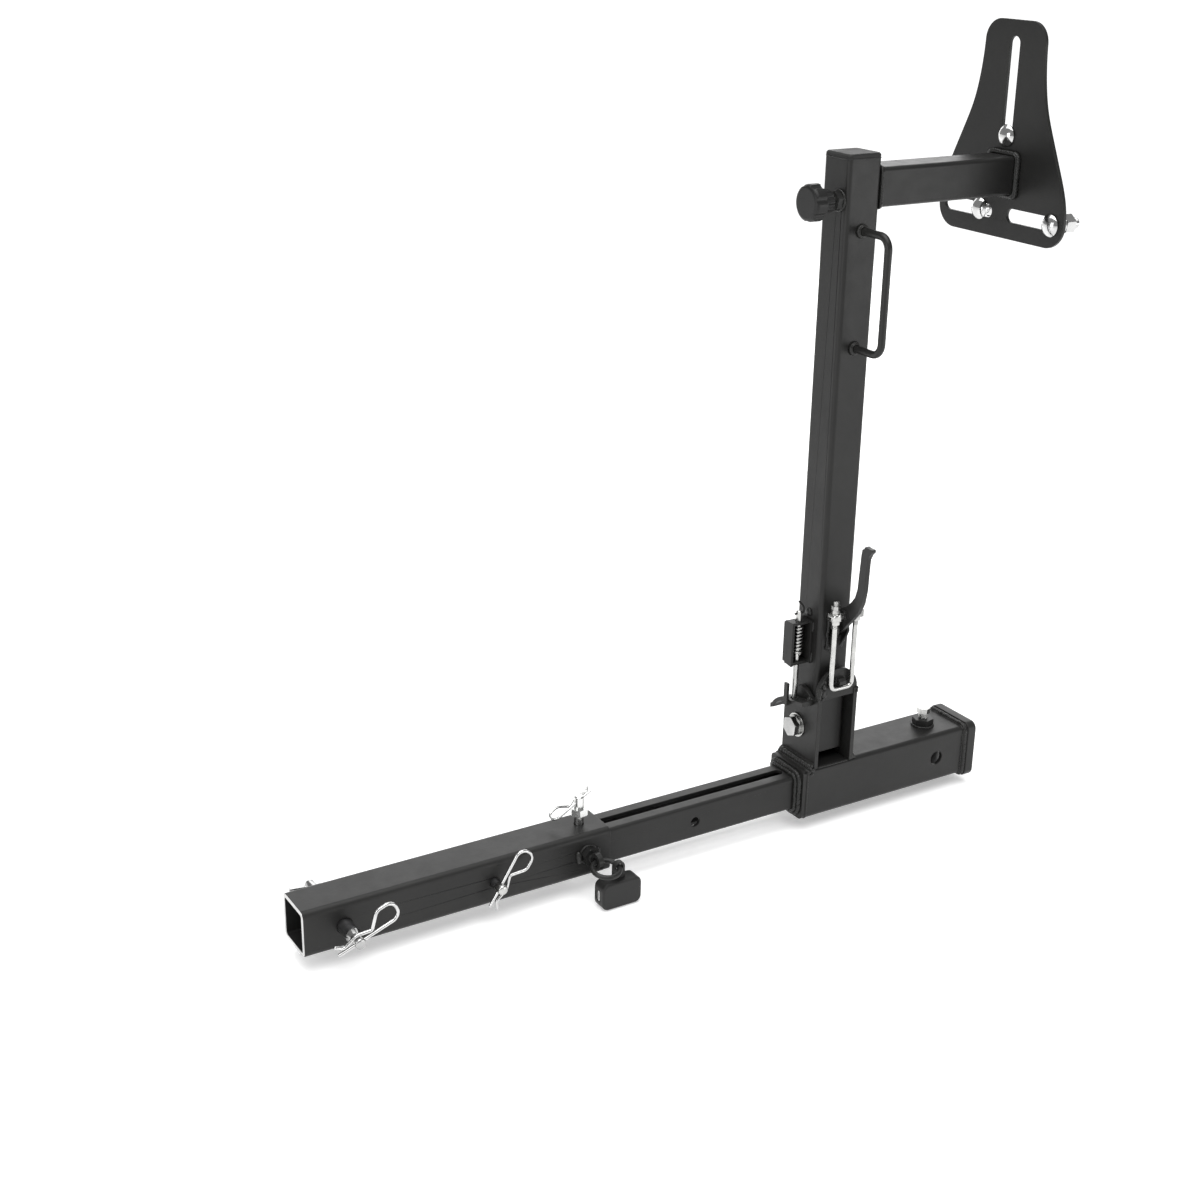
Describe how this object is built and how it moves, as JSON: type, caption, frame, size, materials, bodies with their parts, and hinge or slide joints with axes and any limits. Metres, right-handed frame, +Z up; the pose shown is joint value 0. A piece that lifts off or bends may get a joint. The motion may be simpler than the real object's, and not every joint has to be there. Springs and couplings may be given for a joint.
{
  "type": "hitch spare tyre carrier",
  "caption": "Square-tube hitch carrier: telescoping base with a second receiver, tilting upright mast with clamp and spring latch, and a slotted wheel mounting plate.",
  "frame": {"origin": "centre of the open end face of the shank tube, the end that enters the vehicle's receiver", "axes": "+X along the base from the shank's free end to the open receiver, +Y to the left of +X, +Z up along the mast"},
  "size_m": [0.8675, 0.19, 0.8585],
  "materials": {
    "frame_paint": "satin black powder coat",
    "zinc_steel": "zinc plated",
    "bright_steel": "bright plated",
    "dark_steel": "dark plated",
    "knob_plastic": "moulded",
    "lock_casing": "moulded cover"
  },
  "bodies": {
    "shank": {"shank_tube": "frame_paint", "side_nut": "frame_paint", "slot_pin": "zinc_steel", "slot_pin_nut": "zinc_steel"},
    "carriage": {"inner_tube": "frame_paint", "receiver_end_plate": "frame_paint", "receiver_tube": "frame_paint", "receiver_collar": "frame_paint", "base_welds": "frame_paint", "anti_rattle_nut": "frame_paint", "hinge_bracket": "frame_paint", "hook_plate": "frame_paint", "strike_plate": "frame_paint", "pivot_bolt": "bright_steel", "pivot_washers": "zinc_steel", "pivot_nut": "zinc_steel"},
    "anti_rattle_screw": {"anti_rattle_bolt": "zinc_steel"},
    "mast": {"pivot_bush": "frame_paint", "mast_tube": "frame_paint", "mast_cap": "frame_paint", "arm_tube": "frame_paint", "wheel_plate": "frame_paint", "mast_welds": "frame_paint", "carry_handle": "frame_paint", "knob_nut": "frame_paint", "latch_housing": "frame_paint", "latch_spring": "zinc_steel", "clamp_base": "frame_paint", "clamp_pivot_pin": "zinc_steel"},
    "knob": {"knob_screw": "zinc_steel", "knob_head": "knob_plastic"},
    "plunger": {"latch_plunger": "zinc_steel", "latch_collar": "zinc_steel", "latch_pull": "frame_paint"},
    "lever": {"clamp_lever": "frame_paint"},
    "loop": {"clamp_trunnion": "zinc_steel", "u_bolt": "zinc_steel", "u_bolt_nuts": "zinc_steel"},
    "hitch_pin_body": {"hitch_pin": "dark_steel"},
    "near_clip": {"hitch_clip_near": "zinc_steel"},
    "far_clip": {"hitch_clip_far": "zinc_steel"},
    "adjuster_pin_body": {"adjuster_pin": "zinc_steel"},
    "adjuster_clip_body": {"adjuster_clip": "zinc_steel"},
    "slot_clip_body": {"slot_clip": "zinc_steel"},
    "eye_stud": {"lock_stud": "frame_paint"},
    "ring": {"lock_ring": "frame_paint"},
    "lock": {"lock_body": "lock_casing"},
    "key_barrel": {"lock_core": "lock_casing", "key_shutter": "bright_steel"},
    "upper_bolt": {"wheel_bolt_upper": "bright_steel", "wheel_nut_upper": "bright_steel"},
    "left_bolt": {"wheel_bolt_left": "bright_steel", "wheel_nut_left": "bright_steel"},
    "right_bolt": {"wheel_bolt_right": "bright_steel", "wheel_nut_right": "bright_steel"}
  },
  "joints": [
    {"name": "telescope", "type": "slide", "parent": "shank", "child": "carriage", "axis": [1, 0, 0], "range_m": [-0.125, 0]},
    {"name": "anti_rattle_turn", "type": "hinge", "parent": "carriage", "child": "anti_rattle_screw", "pos_m": [0.783, 0, 0.04], "axis": [0, 0, 1], "continuous": true},
    {"name": "mast_tilt", "type": "hinge", "parent": "carriage", "child": "mast", "pos_m": [0.6286, 0.0035, 0.0715], "axis": [-1, 0, 0], "range_deg": [0, 50]},
    {"name": "clamp_lever_turn", "type": "hinge", "parent": "mast", "child": "lever", "pos_m": [0.6286, -0.024, 0.1935], "axis": [1, 0, 0], "range_deg": [0, 60]},
    {"name": "clamp_loop_turn", "type": "hinge", "parent": "lever", "child": "loop", "pos_m": [0.6286, -0.034, 0.211], "axis": [-1, 0, 0], "range_deg": [0, 140]},
    {"name": "knob_turn", "type": "hinge", "parent": "mast", "child": "knob", "pos_m": [0.59, -0.0045, 0.649], "axis": [1, 0, 0], "continuous": true},
    {"name": "latch_slide", "type": "slide", "parent": "mast", "child": "plunger", "axis": [0, 0, 1], "range_m": [-0.007, 0.006], "stiffness_N_per_m": 400, "deforming": ["latch_spring"]},
    {"name": "hitch_pin_slide", "type": "slide", "parent": "shank", "child": "hitch_pin_body", "axis": [0, 1, 0], "range_m": [-0.02, 0.02]},
    {"name": "near_clip_swing", "type": "hinge", "parent": "hitch_pin_body", "child": "near_clip", "pos_m": [0.0422, -0.0593, 0], "axis": [0.9367, 0, 0.3502], "range_deg": [-12, 12]},
    {"name": "far_clip_swing", "type": "hinge", "parent": "hitch_pin_body", "child": "far_clip", "pos_m": [0.0422, 0.0593, 0], "axis": [0.9945, 0, -0.1045], "range_deg": [-12, 12]},
    {"name": "adjuster_pin_slide", "type": "slide", "parent": "shank", "child": "adjuster_pin_body", "axis": [0, 1, 0], "range_m": [-0.005, 0.005]},
    {"name": "adjuster_clip_swing", "type": "hinge", "parent": "adjuster_pin_body", "child": "adjuster_clip_body", "pos_m": [0.2055, -0.0365, 0], "axis": [0.5299, 0, 0.848], "range_deg": [-10, 10]},
    {"name": "slot_clip_swing", "type": "hinge", "parent": "shank", "child": "slot_clip_body", "pos_m": [0.318, 0, 0.052], "axis": [-0.866, 0, -0.5], "range_deg": [-10, 10]},
    {"name": "stud_turn", "type": "hinge", "parent": "shank", "child": "eye_stud", "pos_m": [0.315, -0.03, 0.002], "axis": [0, 1, 0], "continuous": true},
    {"name": "ring_swing", "type": "hinge", "parent": "eye_stud", "child": "ring", "pos_m": [0.317, -0.0435, 0.002], "axis": [1, 0, 0], "range_deg": [-40, 15]},
    {"name": "lock_swing", "type": "hinge", "parent": "ring", "child": "lock", "pos_m": [0.3312, -0.0585, -0.00035], "axis": [0, 1, 0], "range_deg": [-12, 12]},
    {"name": "key_turn", "type": "hinge", "parent": "lock", "child": "key_barrel", "pos_m": [0.312, -0.0585, -0.0285], "axis": [1, 0, 0], "range_deg": [0, 90]},
    {"name": "upper_bolt_slide", "type": "slide", "parent": "mast", "child": "upper_bolt", "axis": [0, 0, 1], "range_m": [-0.0008, 0.0915]},
    {"name": "left_bolt_slide", "type": "slide", "parent": "mast", "child": "left_bolt", "axis": [0, 1, 0], "range_m": [-0.011, 0.0475]},
    {"name": "right_bolt_slide", "type": "slide", "parent": "mast", "child": "right_bolt", "axis": [0, 1, 0], "range_m": [-0.0008, 0.058]}
  ],
  "couplings": [
    {"joint": "clamp_lever_turn", "follows": "mast_tilt", "ratio": 1.2},
    {"joint": "clamp_loop_turn", "follows": "mast_tilt", "ratio": 2.8}
  ]
}
